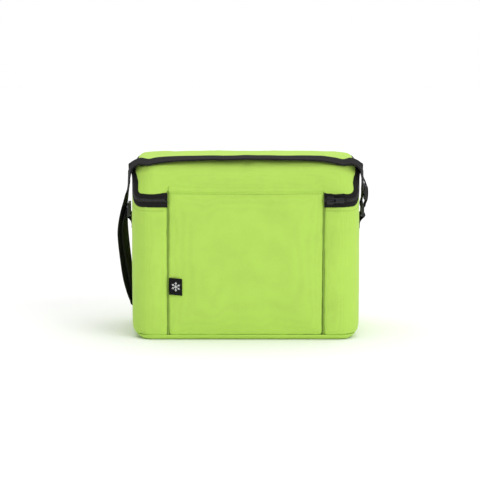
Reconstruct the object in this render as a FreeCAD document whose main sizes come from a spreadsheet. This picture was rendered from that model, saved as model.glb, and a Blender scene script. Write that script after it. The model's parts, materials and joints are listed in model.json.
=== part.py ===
import FreeCAD, Part
import math
import os

from FreeCAD import Placement, Rotation, Vector
import Sketcher

# Insulated cooler bag. Frame: +X to the bag's right as seen from the front, -Y the front, +Z up.
# The origin is the middle of the base, where it stands.

doc = FreeCAD.newDocument("cooler_bag")

# ---------------------------------------------------------------- driving dimensions

DIMENSIONS = [
    # the block
    ("body_width", 270),
    ("body_depth", 170),
    ("body_height", 212),
    ("corner_radius", 26),
    ("top_edge_radius", 12),
    ("base_edge_radius", 7),
    ("base_seam_height", 4),
    ("panel_width", 184),
    ("reach", 250),
    # the wall's layers, from outside to inside
    ("fabric_thickness", 1.0),
    ("foam_thickness", 5.8),
    ("liner_thickness", 0.8),
    ("layer_gap", 0.1),
    ("binding_thickness", 1.0),
    # the line where the lid parts from the walls, and the sewn hinge at the front
    ("hinge_height", 178),
    ("hinge_standoff", 0.5),
    ("hinge_gap", 0.6),
    ("side_clearance", 0.3),
    ("zip_front_height", 166.5),
    ("zip_side_height", 200.5),
    ("flap_return", 15),
    ("climb_radius", 12),
    # the zip
    ("tape_width", 7.2),
    ("half_gap", 0.6),
    ("teeth_width", 1.8),
    ("teeth_proud", 0.8),
    ("stop_length", 1.8),
    ("stop_proud", 1.1),
    ("slider_x", 99.3),
    ("slider_length", 9),
    ("slider_width", 9.6),
    ("slider_corner", 2.2),
    ("slider_overlap", 0.4),
    ("plate_thickness", 1.6),
    ("plate_standoff", 1.2),
    ("neck_thickness", 0.8),
    ("neck_length", 2.4),
    ("neck_setback", 1),
    ("inner_plate_standoff", 0.2),
    ("inner_plate_thickness", 1.2),
    ("inner_plate_setback", 0.5),
    ("bail_length", 8),
    ("bail_thickness", 1.6),
    ("bail_bar", 0.9),
    ("bail_room", 1.8),
    ("bail_post", 1.2),
    ("pull_length", 19),
    ("pull_width", 6.4),
    ("pull_thickness", 1.0),
    ("pull_eye_length", 7.6),
    ("pull_eye_width", 3.0),
    ("pull_end_bar", 1.2),
    ("pull_play", 0.3),
    ("pull_corner", 0.5),
    ("eye_corner", 0.4),
    # the label
    ("label_width", 15.6),
    ("label_height", 20),
    ("label_thickness", 0.8),
    ("label_bottom", 54.5),
    ("label_standoff", 0.5),
    ("label_setback", 0.5),
    # webbing, rings and adjuster
    ("webbing_width", 25),
    ("webbing_thickness", 1.8),
    ("tab_bottom", 124),
    ("tab_thickness", 3.6),
    ("bar_radius", 1.6),
    ("bar_play", 0.1),
    ("ring_x", 142),
    ("ring_low", 141),
    ("ring_high", 154),
    ("ring_span", 29.2),
    ("adjuster_x", 145.3),
    ("adjuster_y", 0),
    ("adjuster_z", 168.5),
    ("adjuster_length", 18),
    ("adjuster_span", 32),
    ("adjuster_thickness", 3.2),
    ("adjuster_bar", 3),
    ("adjuster_side", 2.6),
    ("adjuster_corner", 3),
    ("slot_corner", 0.8),
    ("strap_y", -70),
    ("strap_clear", 0.6),
]

sheet = doc.addObject("Spreadsheet::Sheet", "Sheet")
for row, (alias, number) in enumerate(DIMENSIONS, start=1):
    sheet.set(f"A{row}", alias)
    sheet.set(f"B{row}", str(number))
    sheet.setAlias(f"B{row}", alias)
doc.recompute()


def value(formula):
    """The number that a formula over the sheet's cells gives."""
    return float(sheet.evalExpression(formula))


def bind(thing, place, formula):
    thing.setExpression(place, formula)


# ---------------------------------------------------------------- sketches and solids


def origin_plane(body, role):
    return next(f for f in body.Origin.OriginFeatures if f.Role == role)


def sketch_on(body, role, lift="0"):
    """A sketch on one of the body's origin planes, moved along that plane's normal by lift."""
    sketch = body.newObject("Sketcher::SketchObject", f"{body.Name}_sketch")
    sketch.AttachmentSupport = (origin_plane(body, role), [""])
    sketch.MapMode = "FlatFace"
    bind(sketch, "AttachmentOffset.Base.z", lift)
    return sketch


def hold(sketch, constraint, formula):
    """Adds a constraint whose size is a formula over the sheet."""
    index = sketch.addConstraint(constraint)
    bind(sketch, f"Constraints[{index}]", formula)


def outline(sketch, corners):
    """A closed outline of level and upright lines. Corners are (x, y, radius or None) formulas,
    and each shares its x or its y with the next one."""
    count = len(corners)
    points = [Vector(value(x), value(y), 0) for x, y, _ in corners]
    radii = [value(r) if r else 0.0 for _, _, r in corners]
    ways = [(points[(i + 1) % count] - points[i]).normalize() for i in range(count)]
    lines = []
    for i in range(count):
        start = points[i] + ways[i] * radii[i]
        end = points[(i + 1) % count] - ways[i] * radii[(i + 1) % count]
        line = sketch.addGeometry(Part.LineSegment(start, end))
        lines.append(line)
        level = abs(ways[i].y) < 0.5
        kind = "Horizontal" if level else "Vertical"
        sketch.addConstraint(Sketcher.Constraint(kind, line))
        if level:
            hold(sketch, Sketcher.Constraint("DistanceY", line, 1, start.y), corners[i][1])
        else:
            hold(sketch, Sketcher.Constraint("DistanceX", line, 1, start.x), corners[i][0])
    for i, (_, _, radius) in enumerate(corners):
        before, after = lines[i - 1], lines[i]
        if not radius:
            sketch.addConstraint(Sketcher.Constraint("Coincident", before, 2, after, 1))
            continue
        start = points[i] - ways[i - 1] * radii[i]
        end = points[i] + ways[i] * radii[i]
        centre = start + ways[i] * radii[i]
        turns_left = ways[i - 1].cross(ways[i]).z > 0
        first, last = (start, end) if turns_left else (end, start)
        angles = [math.atan2(p.y - centre.y, p.x - centre.x) for p in (first, last)]
        circle = Part.Circle(centre, Vector(0, 0, 1), radii[i])
        arc = sketch.addGeometry(Part.ArcOfCircle(circle, *angles))
        start_end, end_end = (1, 2) if turns_left else (2, 1)
        sketch.addConstraint(Sketcher.Constraint("Tangent", before, 2, arc, start_end))
        sketch.addConstraint(Sketcher.Constraint("Tangent", arc, end_end, after, 1))
        hold(sketch, Sketcher.Constraint("Radius", arc, radii[i]), radius)


def rectangle(x_low, x_high, y_low, y_high, radius=None):
    return [
        (x_low, y_low, radius),
        (x_high, y_low, radius),
        (x_high, y_high, radius),
        (x_low, y_high, radius),
    ]


def new_body(label):
    body = doc.addObject("PartDesign::Body", label)
    body.Label = label
    return body


def pad(body, role, lift, length, *outlines, both_ways=False):
    """Pads outlines drawn on an origin plane; an outline inside another one is a hole."""
    sketch = sketch_on(body, role, lift)
    for corners in outlines:
        outline(sketch, corners)
    feature = body.newObject("PartDesign::Pad", f"{body.Name}_pad")
    feature.Profile = sketch
    bind(feature, "Length", length)
    if both_ways:
        feature.SideType = "Symmetric"
    doc.recompute()
    return feature


def round_level_edges(body, feature, height, radius):
    """Fillets every edge of the body that lies level at a height."""
    found = []
    for number, edge in enumerate(feature.Shape.Edges, start=1):
        box = edge.BoundBox
        if abs(box.ZMin - height) < 1e-4 and abs(box.ZMax - height) < 1e-4:
            found.append(f"Edge{number}")
    fillet = body.newObject("PartDesign::Fillet", f"{body.Name}_fillet")
    fillet.Base = (feature, found)
    bind(fillet, "Radius", radius)
    doc.recompute()
    return fillet


def block(label, grow):
    """The bag's whole block, with its faces moved outwards by grow."""
    body = new_body(label)
    half_x = f"(Sheet.body_width / 2 + {grow})"
    half_y = f"(Sheet.body_depth / 2 + {grow})"
    loop = rectangle(
        f"-{half_x}", half_x, f"-{half_y}", half_y, f"Sheet.corner_radius + {grow}"
    )
    feature = pad(body, "XY_Plane", f"-({grow})", f"Sheet.body_height + 2 * ({grow})", loop)
    top = value(f"Sheet.body_height + {grow}")
    feature = round_level_edges(body, feature, top, f"Sheet.top_edge_radius + {grow}")
    base = value(f"-({grow})")
    round_level_edges(body, feature, base, f"Sheet.base_edge_radius + {grow} * 0.7")
    return body


def below_zip(label, shift):
    """Everything under the zip's line, with that line moved towards the lid by shift."""
    body = new_body(label)
    front = f"Sheet.zip_front_height + {shift}"
    side = f"Sheet.zip_side_height + {shift}"
    climb = f"Sheet.flap_return - Sheet.body_depth / 2 - ({shift})"
    loop = [
        ("-Sheet.reach", "-Sheet.reach", None),
        ("Sheet.reach", "-Sheet.reach", None),
        ("Sheet.reach", side, None),
        (climb, side, f"Sheet.climb_radius + {shift}"),
        (climb, front, f"Sheet.hinge_height - Sheet.zip_front_height - ({shift})"),
        ("-Sheet.reach", front, None),
    ]
    pad(body, "YZ_Plane", "0", "2 * Sheet.reach", loop, both_ways=True)
    return body


def box(label, x, y, z):
    """A plain box from three (low, high) pairs of formulas."""
    solid = doc.addObject("Part::Box", label)
    solid.Label = label
    for (low, high), size, axis in zip((x, y, z), ("Length", "Width", "Height"), "xyz"):
        bind(solid, size, f"({high}) - ({low})")
        bind(solid, f"Placement.Base.{axis}", low)
    return solid


def cut(label, base, *tools):
    """A base less each tool in turn."""
    for step, tool in enumerate(tools, start=1):
        feature = doc.addObject("Part::Cut", label if step == len(tools) else f"{label}_{step}")
        feature.Base = base
        feature.Tool = tool
        base = feature
    base.Label = label
    return base


def common(label, *solids):
    feature = doc.addObject("Part::MultiCommon", label)
    feature.Shapes = list(solids)
    feature.Label = label
    return feature


def fuse(label, *solids):
    feature = doc.addObject("Part::MultiFuse", label)
    feature.Shapes = list(solids)
    feature.Label = label
    return feature


# ---------------------------------------------------------------- tools that the layers share

FABRIC_INSIDE = "-Sheet.fabric_thickness"
FOAM_OUTSIDE = f"({FABRIC_INSIDE} - Sheet.layer_gap)"
FOAM_INSIDE = f"({FOAM_OUTSIDE} - Sheet.foam_thickness)"
LINER_OUTSIDE = f"({FOAM_INSIDE} - Sheet.layer_gap)"
LINER_INSIDE = f"({LINER_OUTSIDE} - Sheet.liner_thickness)"

outer = block("block_outer", "0")
fabric_inside = block("block_fabric_inside", FABRIC_INSIDE)
foam_outside = block("block_foam_outside", FOAM_OUTSIDE)
foam_inside = block("block_foam_inside", FOAM_INSIDE)
liner_outside = block("block_liner_outside", LINER_OUTSIDE)
liner_inside = block("block_liner_inside", LINER_INSIDE)
teeth_outside = block("block_teeth_outside", "Sheet.teeth_proud")

fabric_shell = cut("shell_fabric", outer, fabric_inside)
foam_shell = cut("shell_foam", foam_outside, foam_inside)
liner_shell = cut("shell_liner", liner_outside, liner_inside)
edge_shell = cut("shell_edge", foam_outside, liner_inside)
teeth_shell = cut("shell_teeth", teeth_outside, fabric_inside)

TEETH_FAR = "(Sheet.half_gap + Sheet.teeth_width)"
wall_top = below_zip("below_tape", "-Sheet.tape_width")
binding_top = below_zip("below_binding_top", "(Sheet.binding_thickness - Sheet.tape_width)")
lower_teeth_low = below_zip("below_lower_teeth", f"-{TEETH_FAR}")
lower_teeth_high = below_zip("below_lower_gap", "-Sheet.half_gap")
upper_teeth_low = below_zip("below_upper_gap", "Sheet.half_gap")
lid_binding_top = below_zip("below_lid_inside", "(Sheet.half_gap + Sheet.binding_thickness)")
upper_teeth_high = below_zip("below_upper_teeth", TEETH_FAR)
cover_low = below_zip("below_cover", "Sheet.tape_width")

ALL = ("-Sheet.reach", "Sheet.reach")
LOW = "-Sheet.reach"
HALF_PANEL = "Sheet.panel_width / 2"
FRONT = "-Sheet.body_depth / 2"
PANEL_TOP = "Sheet.hinge_height - Sheet.hinge_gap / 2"
ABOVE_BASE = ("Sheet.base_seam_height", "Sheet.reach")
FOAM_FLOOR = f"-({FOAM_INSIDE})"
ABOVE_FLOOR = (f"{FOAM_FLOOR} + Sheet.layer_gap", "Sheet.reach")

panel_region = box(
    "region_panel",
    (f"-{HALF_PANEL}", HALF_PANEL),
    (LOW, "0"),
    ("Sheet.base_seam_height", PANEL_TOP),
)
panel_foam_region = box(
    "region_panel_foam", (f"-{HALF_PANEL}", HALF_PANEL), (LOW, "0"), (ABOVE_FLOOR[0], PANEL_TOP)
)
panel_column = box("region_panel_column", (f"-{HALF_PANEL}", HALF_PANEL), (LOW, "0"), ALL)
notch = box(
    "region_notch",
    (f"-{HALF_PANEL} - Sheet.side_clearance", f"{HALF_PANEL} + Sheet.side_clearance"),
    (LOW, "0"),
    (LOW, "Sheet.hinge_height + Sheet.hinge_gap / 2"),
)

# ---------------------------------------------------------------- walls, foam and liner

back_x = (f"-{HALF_PANEL}", HALF_PANEL)
left_x = (LOW, f"-{HALF_PANEL}")
right_x = (HALF_PANEL, "Sheet.reach")

front_panel = common("front_panel", fabric_shell, panel_region)
base_panel = common(
    "base_panel", fabric_shell, box("region_base", ALL, ALL, (LOW, "Sheet.base_seam_height"))
)
foam_front = common("foam_front", foam_shell, panel_foam_region)
foam_base = common("foam_base", foam_shell, box("region_floor", ALL, ALL, (LOW, FOAM_FLOOR)))

nodes = [front_panel, base_panel, foam_front, foam_base]
back_half = ("0", "Sheet.reach")
for side, x, y in (("left", left_x, ALL), ("right", right_x, ALL), ("back", back_x, back_half)):
    cloth = box(f"region_{side}", x, y, ABOVE_BASE)
    filling = box(f"region_foam_{side}", x, y, ABOVE_FLOOR)
    name = "back_panel" if side == "back" else f"side_gusset_{side}"
    nodes.append(common(name, fabric_shell, wall_top, cloth))
    nodes.append(common(f"foam_{side}", foam_shell, wall_top, filling))

liner_front = common("liner_front_part", liner_shell, panel_foam_region)
liner_rest = common("liner_wall_part", liner_shell, wall_top)
nodes.append(fuse("liner", liner_rest, liner_front))

rim = common("rim_ring", edge_shell, binding_top)
nodes.append(cut("rim_binding", rim, wall_top, panel_column))

# ---------------------------------------------------------------- zip tapes and teeth

tape_ring = common("tape_ring_lower", fabric_shell, lower_teeth_low)
nodes.append(cut("zip_tape_lower", tape_ring, wall_top, panel_column))

stop_column = box(
    "region_stops",
    (f"-{HALF_PANEL} - Sheet.stop_length", f"{HALF_PANEL} + Sheet.stop_length"),
    (LOW, "0"),
    ALL,
)
teeth_ring = common("teeth_ring_lower", teeth_shell, lower_teeth_high)
nodes.append(cut("zip_teeth_lower", teeth_ring, lower_teeth_low, stop_column))

for side, sign in (("left", "-"), ("right", "")):
    near = f"{sign}({HALF_PANEL})"
    far = f"{sign}({HALF_PANEL} + Sheet.stop_length)"
    stop = box(
        f"zip_stop_{side}",
        (far, near) if sign else (near, far),
        (f"{FRONT} - Sheet.stop_proud", f"{FRONT} + Sheet.fabric_thickness"),
        (f"Sheet.zip_front_height - {TEETH_FAR}", "Sheet.zip_front_height - Sheet.half_gap"),
    )
    nodes.append(stop)

tape_ring = common("tape_ring_upper", fabric_shell, cover_low)
nodes.append(cut("zip_tape_upper", tape_ring, upper_teeth_high, notch))
teeth_ring = common("teeth_ring_upper", teeth_shell, upper_teeth_high)
nodes.append(cut("zip_teeth_upper", teeth_ring, upper_teeth_low, notch))

# ---------------------------------------------------------------- the lid

nodes.append(cut("lid_cover", fabric_shell, cover_low, notch))
nodes.append(cut("lid_liner", liner_shell, lid_binding_top, notch))
lid_edge = common("lid_edge_ring", edge_shell, lid_binding_top)
nodes.append(cut("lid_binding", lid_edge, upper_teeth_low, notch))

lid_filling = cut("lid_filling", foam_shell, lid_binding_top, notch)
flap_region = box(
    "region_flap",
    ALL,
    (LOW, f"{FRONT} + Sheet.flap_return"),
    (LOW, "Sheet.zip_side_height"),
)
nodes.append(common("lid_flap_foam", lid_filling, flap_region))
nodes.append(cut("lid_top_foam", lid_filling, flap_region))

# ---------------------------------------------------------------- slider and pull

PLATE_IN = "(Sheet.body_depth / 2 + Sheet.plate_standoff)"
PLATE_OUT = f"({PLATE_IN} + Sheet.plate_thickness)"
PIVOT = f"({PLATE_OUT} + Sheet.bail_room / 2)"
ZIP_Z = "Sheet.zip_front_height"
SLIDER_LOW = "(Sheet.slider_x - Sheet.slider_length / 2)"
NECK_LOW = f"({SLIDER_LOW} + Sheet.neck_setback)"

slider = new_body("zip_slider")
pad(
    slider,
    "XZ_Plane",
    PLATE_IN,
    "Sheet.plate_thickness",
    rectangle(
        SLIDER_LOW,
        f"{SLIDER_LOW} + Sheet.slider_length",
        f"{ZIP_Z} - Sheet.slider_width / 2",
        f"{ZIP_Z} + Sheet.slider_width / 2",
        "Sheet.slider_corner",
    ),
)
INNER_FACE = "(Sheet.body_depth / 2 - Sheet.fabric_thickness - Sheet.inner_plate_standoff)"
pad(
    slider,
    "XZ_Plane",
    f"{INNER_FACE} - Sheet.inner_plate_thickness",
    f"{PLATE_IN} - {INNER_FACE} + Sheet.inner_plate_thickness + Sheet.slider_overlap",
    rectangle(
        NECK_LOW,
        f"{NECK_LOW} + Sheet.neck_length",
        f"{ZIP_Z} - Sheet.neck_thickness / 2",
        f"{ZIP_Z} + Sheet.neck_thickness / 2",
    ),
)
pad(
    slider,
    "XZ_Plane",
    f"{INNER_FACE} - Sheet.inner_plate_thickness",
    "Sheet.inner_plate_thickness",
    rectangle(
        f"{SLIDER_LOW} + Sheet.inner_plate_setback",
        f"{SLIDER_LOW} + Sheet.slider_length - Sheet.inner_plate_setback",
        f"{ZIP_Z} - Sheet.slider_width / 2",
        f"{ZIP_Z} + Sheet.neck_thickness / 2",
    ),
)
BAIL_LOW = "(Sheet.slider_x - Sheet.bail_length / 2)"
BAIL_HIGH = "(Sheet.slider_x + Sheet.bail_length / 2)"
pad(
    slider,
    "XY_Plane",
    f"{ZIP_Z} - Sheet.bail_thickness / 2",
    "Sheet.bail_thickness",
    rectangle(
        BAIL_LOW,
        BAIL_HIGH,
        f"-({PLATE_OUT} + Sheet.bail_room + Sheet.bail_bar)",
        f"-({PLATE_OUT} - Sheet.slider_overlap)",
    ),
    rectangle(
        f"{BAIL_LOW} + Sheet.bail_post",
        f"{BAIL_HIGH} - Sheet.bail_post",
        f"-({PLATE_OUT} + Sheet.bail_room)",
        f"-{PLATE_OUT}",
    ),
)
nodes.append(slider)

PULL_LOW = f"({BAIL_LOW} + Sheet.bail_post + Sheet.pull_play)"
EYE_LOW = f"({PULL_LOW} + Sheet.pull_end_bar)"
pull = new_body("zip_pull")
pad(
    pull,
    "XZ_Plane",
    f"{PIVOT} - Sheet.pull_thickness / 2",
    "Sheet.pull_thickness",
    rectangle(
        PULL_LOW,
        f"{PULL_LOW} + Sheet.pull_length",
        f"{ZIP_Z} - Sheet.pull_width / 2",
        f"{ZIP_Z} + Sheet.pull_width / 2",
        "Sheet.pull_corner",
    ),
    rectangle(
        EYE_LOW,
        f"{EYE_LOW} + Sheet.pull_eye_length",
        f"{ZIP_Z} - Sheet.pull_eye_width / 2",
        f"{ZIP_Z} + Sheet.pull_eye_width / 2",
        "Sheet.eye_corner",
    ),
)
nodes.append(pull)

# ---------------------------------------------------------------- label

LABEL_LOW = f"-{HALF_PANEL} + Sheet.label_setback"
LABEL_BACK = f"{FRONT} - Sheet.label_standoff"
nodes.append(
    box(
        "side_label",
        (LABEL_LOW, f"{LABEL_LOW} + Sheet.label_width"),
        (f"{LABEL_BACK} - Sheet.label_thickness", LABEL_BACK),
        ("Sheet.label_bottom", "Sheet.label_bottom + Sheet.label_height"),
    )
)

# ---------------------------------------------------------------- strap rings and their tabs

HALF_WEB = "Sheet.webbing_width / 2"
LOOP_OUT = "(Sheet.bar_radius + Sheet.bar_play + Sheet.webbing_thickness)"
SIDE_FACE = "(Sheet.body_width / 2 + Sheet.layer_gap)"
BAR_HALF = "(Sheet.ring_span / 2)"


def bar(label, radius, length, x, y, z):
    """A round bar along Y, from y towards the back."""
    solid = doc.addObject("Part::Cylinder", label)
    solid.Placement = Placement(Vector(), Rotation(Vector(1, 0, 0), -90))
    bind(solid, "Radius", radius)
    bind(solid, "Height", length)
    bind(solid, "Placement.Base.x", x)
    bind(solid, "Placement.Base.y", y)
    bind(solid, "Placement.Base.z", z)
    return solid


for side, sign in (("left", "-"), ("right", "")):
    x = f"{sign}Sheet.ring_x"
    inside = (f"{sign}{SIDE_FACE}", f"{sign}({SIDE_FACE} + Sheet.tab_thickness)")
    stem_x = tuple(reversed(inside)) if sign else inside
    reach_x = (x, f"{sign}{SIDE_FACE}") if sign else (SIDE_FACE, x)
    stem = box(
        f"tab_stem_{side}", stem_x, (f"-{HALF_WEB}", HALF_WEB), ("Sheet.tab_bottom", "Sheet.ring_low")
    )
    neck = box(
        f"tab_neck_{side}",
        reach_x,
        (f"-{HALF_WEB}", HALF_WEB),
        (f"Sheet.ring_low - {LOOP_OUT}", "Sheet.ring_low"),
    )
    loop = bar(
        f"tab_loop_{side}", LOOP_OUT, "Sheet.webbing_width", x, f"-{HALF_WEB}", "Sheet.ring_low"
    )
    whole = fuse(f"tab_whole_{side}", stem, neck, loop)
    hole = bar(
        f"tab_hole_{side}",
        "Sheet.bar_radius + Sheet.bar_play",
        "2 * Sheet.webbing_width",
        x,
        "-Sheet.webbing_width",
        "Sheet.ring_low",
    )
    nodes.append(cut(f"ring_tab_{side}", whole, hole))

    sides = []
    for end, middle in (("front", f"-{BAR_HALF}"), ("back", BAR_HALF)):
        sides.append(
            box(
                f"ring_{end}_{side}",
                (f"{x} - Sheet.bar_radius", f"{x} + Sheet.bar_radius"),
                (f"{middle} - Sheet.bar_radius", f"{middle} + Sheet.bar_radius"),
                ("Sheet.ring_low - Sheet.bar_radius", "Sheet.ring_high + Sheet.bar_radius"),
            )
        )
    bars = [
        bar(f"ring_bar_{level}_{side}", "Sheet.bar_radius", "Sheet.ring_span", x, f"-{BAR_HALF}", z)
        for level, z in (("low", "Sheet.ring_low"), ("high", "Sheet.ring_high"))
    ]
    nodes.append(fuse(f"strap_ring_{side}", *sides, *bars))

# ---------------------------------------------------------------- strap adjuster

# The adjuster stands outside the webbing that drops to the right ring.
adjuster = new_body("strap_adjuster")
HALF_LONG = "Sheet.adjuster_length / 2"
HALF_SPAN = "Sheet.adjuster_span / 2"
SLOT_END = f"({HALF_SPAN} - Sheet.adjuster_side)"
OUTER_BAR = "Sheet.adjuster_bar"
INNER_BAR = "Sheet.adjuster_bar / 2"
pad(
    adjuster,
    "YZ_Plane",
    "-Sheet.adjuster_thickness / 2",
    "Sheet.adjuster_thickness",
    rectangle(f"-{HALF_SPAN}", HALF_SPAN, f"-{HALF_LONG}", HALF_LONG, "Sheet.adjuster_corner"),
    rectangle(
        f"-{SLOT_END}", SLOT_END, f"-{HALF_LONG} + {OUTER_BAR}", f"-{INNER_BAR}", "Sheet.slot_corner"
    ),
    rectangle(
        f"-{SLOT_END}", SLOT_END, INNER_BAR, f"{HALF_LONG} - {OUTER_BAR}", "Sheet.slot_corner"
    ),
)
for axis in "xyz":
    bind(adjuster, f"Placement.Base.{axis}", f"Sheet.adjuster_{axis}")
nodes.append(adjuster)

# ---------------------------------------------------------------- webbing

HALF_X = value("Sheet.body_width") / 2
TOP = value("Sheet.body_height")
STRAP_Y = value("Sheet.strap_y")
STRAP_CLEAR = value("Sheet.strap_clear")
THICKNESS = value("Sheet.webbing_thickness")
WIDTH = value("Sheet.webbing_width")
RING_X = value("Sheet.ring_x")


def ribbon(label, stations):
    """Webbing through stations of (centre, way across the width), as one closed solid."""
    rings = []
    for number, (centre, across) in enumerate(stations):
        before = stations[max(number - 1, 0)][0]
        after = stations[min(number + 1, len(stations) - 1)][0]
        along = (after - before).normalize()
        side = (across - along * across.dot(along)).normalize()
        thick = along.cross(side).normalize() * (THICKNESS / 2)
        wide = side * (WIDTH / 2)
        rings.append(
            [centre + wide + thick, centre - wide + thick, centre - wide - thick, centre + wide - thick]
        )
    triangles = []
    for ring, following in zip(rings, rings[1:]):
        for k in range(4):
            a, b, c, d = ring[k - 1], ring[k], following[k], following[k - 1]
            triangles += [(a, b, c), (a, c, d)]
    for a, b, c, d in (rings[0], rings[-1]):
        triangles += [(a, b, c), (a, c, d)]
    faces = [Part.Face(Part.makePolygon([a, b, c, a])) for a, b, c in triangles]
    shell = Part.makeShell(faces)
    shell.sewShape()
    solid = Part.makeSolid(shell)
    if solid.Volume < 0:
        solid.reverse()
    feature = doc.addObject("Part::Feature", label)
    feature.Shape = solid
    feature.Label = label
    return feature


BACKWARDS = Vector(0, 1, 0)
TILTED = Vector(0, 0.98, 0.19)
DOWN_ARM = Vector(0, 0.6, 1)
EDGE_RADIUS = value("Sheet.top_edge_radius")
ROUNDING_GAP = 1.2
# The webbing rounds the lid's side edge at this distance from the edge's own centre line.
ROUND_EDGE = EDGE_RADIUS + STRAP_CLEAR + THICKNESS / 2 + ROUNDING_GAP
OVER_EDGE = [(90, 0), (60, 1), (30, 3), (0, 7)]


def arm(sign):
    """One side of the strap, from the lid's top edge down to just above the ring."""
    stations = []
    for degrees, back in OVER_EDGE:
        out = HALF_X - EDGE_RADIUS + ROUND_EDGE * math.cos(math.radians(degrees))
        up = TOP - EDGE_RADIUS + ROUND_EDGE * math.sin(math.radians(degrees))
        stations.append((Vector(sign * out, STRAP_Y + back, up), TILTED))
    stations += [
        (Vector(sign * (HALF_X + 3.2), STRAP_Y + 14, 193), Vector(0, 0.9, 0.45)),
        (Vector(sign * (HALF_X + 5.0), STRAP_Y + 31, 188), DOWN_ARM),
        (Vector(sign * (HALF_X + 6.6), STRAP_Y + 47, 184.5), DOWN_ARM),
    ]
    return stations


nodes.append(ribbon("shoulder_strap", arm(-1)[::-1] + arm(1)))

BELOW_ARM = Vector(HALF_X + 7.0, STRAP_Y + 63, 179.8)
# The spare webbing hangs beside the bag as a flat loop: down, round and back up to the ring.
slack = [
    (Vector(-BELOW_ARM.x, BELOW_ARM.y, BELOW_ARM.z), DOWN_ARM),
    (Vector(-(RING_X + 2.0), -4, 170), Vector(0, 1, 0.3)),
    (Vector(-(RING_X + 4.4), -2, 157), BACKWARDS),
    (Vector(-(RING_X + 6.9), -1, 145), BACKWARDS),
    (Vector(-(RING_X + 9.4), 0, 130), BACKWARDS),
    (Vector(-(RING_X + 10.4), 0, 116), BACKWARDS),
    (Vector(-(RING_X + 8.2), 2, 92), BACKWARDS),
    (Vector(-(RING_X + 4.8), 6, 64), BACKWARDS),
    (Vector(-(RING_X + 0.8), 10, 46), BACKWARDS),
    (Vector(-(RING_X - 1.8), 12, 36), BACKWARDS),
    (Vector(-(RING_X - 3.1), 12, 29), BACKWARDS),
    (Vector(-(RING_X - 4.6), 12, 36), BACKWARDS),
    (Vector(-(RING_X - 3.8), 10, 50), BACKWARDS),
    (Vector(-(RING_X - 1.6), 6, 70), BACKWARDS),
    (Vector(-(RING_X + 0.8), 4, 92), BACKWARDS),
    (Vector(-(RING_X + 3.4), 2, 112), BACKWARDS),
    (Vector(-(RING_X + 5.0), 1, 128), BACKWARDS),
    (Vector(-(RING_X + 4.7), 0, 140), BACKWARDS),
    (Vector(-(RING_X + 3.3), 0, 149.5), BACKWARDS),
]
nodes.append(ribbon("strap_slack", slack))

turn = [
    (BELOW_ARM, DOWN_ARM),
    (Vector(RING_X - 0.1, -1, 171), BACKWARDS),
    (Vector(RING_X - 0.2, 0, 158), BACKWARDS),
]
nodes.append(ribbon("strap_end", turn))

# ---------------------------------------------------------------- checks, and the files

doc.recompute()
for thing in doc.Objects:
    if {"Invalid", "Error"} & set(thing.State):
        raise RuntimeError(f"{thing.Label} did not build: {thing.State}")
for node in nodes:
    shape = node.Shape
    if shape.isNull() or not shape.isValid() or shape.Volume <= 0:
        raise RuntimeError(f"{node.Label} has no valid solid")
    print(f"{node.Label:20s} {len(shape.Solids)} solid(s) {shape.Volume / 1000:9.3f} cm3")

os.makedirs("parts", exist_ok=True)
for node in nodes:
    node.Shape.exportStep(f"parts/{node.Label}.step")
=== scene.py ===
import json
import math

import bmesh
import bpy
import numpy as np
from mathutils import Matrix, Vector, noise


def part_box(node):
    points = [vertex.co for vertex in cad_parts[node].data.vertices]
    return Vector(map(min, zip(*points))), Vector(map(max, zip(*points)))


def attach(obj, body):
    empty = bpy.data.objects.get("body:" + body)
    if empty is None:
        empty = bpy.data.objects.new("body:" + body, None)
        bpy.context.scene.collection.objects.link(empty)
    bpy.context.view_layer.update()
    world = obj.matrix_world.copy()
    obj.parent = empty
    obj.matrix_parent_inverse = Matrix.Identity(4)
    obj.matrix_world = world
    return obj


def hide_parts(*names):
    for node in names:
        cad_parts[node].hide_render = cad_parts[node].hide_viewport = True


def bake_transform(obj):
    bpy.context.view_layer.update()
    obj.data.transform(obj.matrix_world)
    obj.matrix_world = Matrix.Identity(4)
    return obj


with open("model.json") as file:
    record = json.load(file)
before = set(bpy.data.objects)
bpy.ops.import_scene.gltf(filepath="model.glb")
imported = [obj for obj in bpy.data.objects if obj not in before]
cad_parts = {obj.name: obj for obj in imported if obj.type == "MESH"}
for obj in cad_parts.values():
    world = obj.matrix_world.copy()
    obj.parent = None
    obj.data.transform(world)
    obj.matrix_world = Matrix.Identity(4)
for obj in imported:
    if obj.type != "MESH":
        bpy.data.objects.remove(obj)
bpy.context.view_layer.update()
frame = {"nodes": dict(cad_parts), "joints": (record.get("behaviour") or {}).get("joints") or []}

# ---------------------------------------------------------------- measures, in metres, from the frame

MM = 0.001
HALF_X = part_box("side_gusset_right")[1].x
HALF_Y = -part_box("front_panel")[0].y
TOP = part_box("lid_cover")[1].z
PANEL_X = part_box("front_panel")[1].x
BASE_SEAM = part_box("front_panel")[0].z
PANEL_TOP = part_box("front_panel")[1].z
WALL_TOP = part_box("back_panel")[1].z

CORNER = 26 * MM
TOP_EDGE = 12 * MM
BASE_EDGE = 7 * MM
BASE_ROUND = 15 * MM
BASE_TUCK = 6 * MM

HINGE = Vector(next(j for j in frame["joints"] if j["name"] == "lid_hinge")["pos_m"])
ZIP_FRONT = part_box("zip_teeth_lower")[0].z + 2.4 * MM
ZIP_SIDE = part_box("zip_teeth_lower")[1].z + 0.6 * MM
FLAP_RETURN = 15 * MM
LOW_ARC = HINGE.z - ZIP_FRONT
HIGH_ARC = 12 * MM
CLIMB_Y = FLAP_RETURN - HALF_Y
LOW_CENTRE = (CLIMB_Y - LOW_ARC, HINGE.z)
HIGH_CENTRE = (CLIMB_Y + HIGH_ARC, ZIP_SIDE - HIGH_ARC)
TAPE = 7.2 * MM


# ---------------------------------------------------------------- the bag's outer surface


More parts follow.
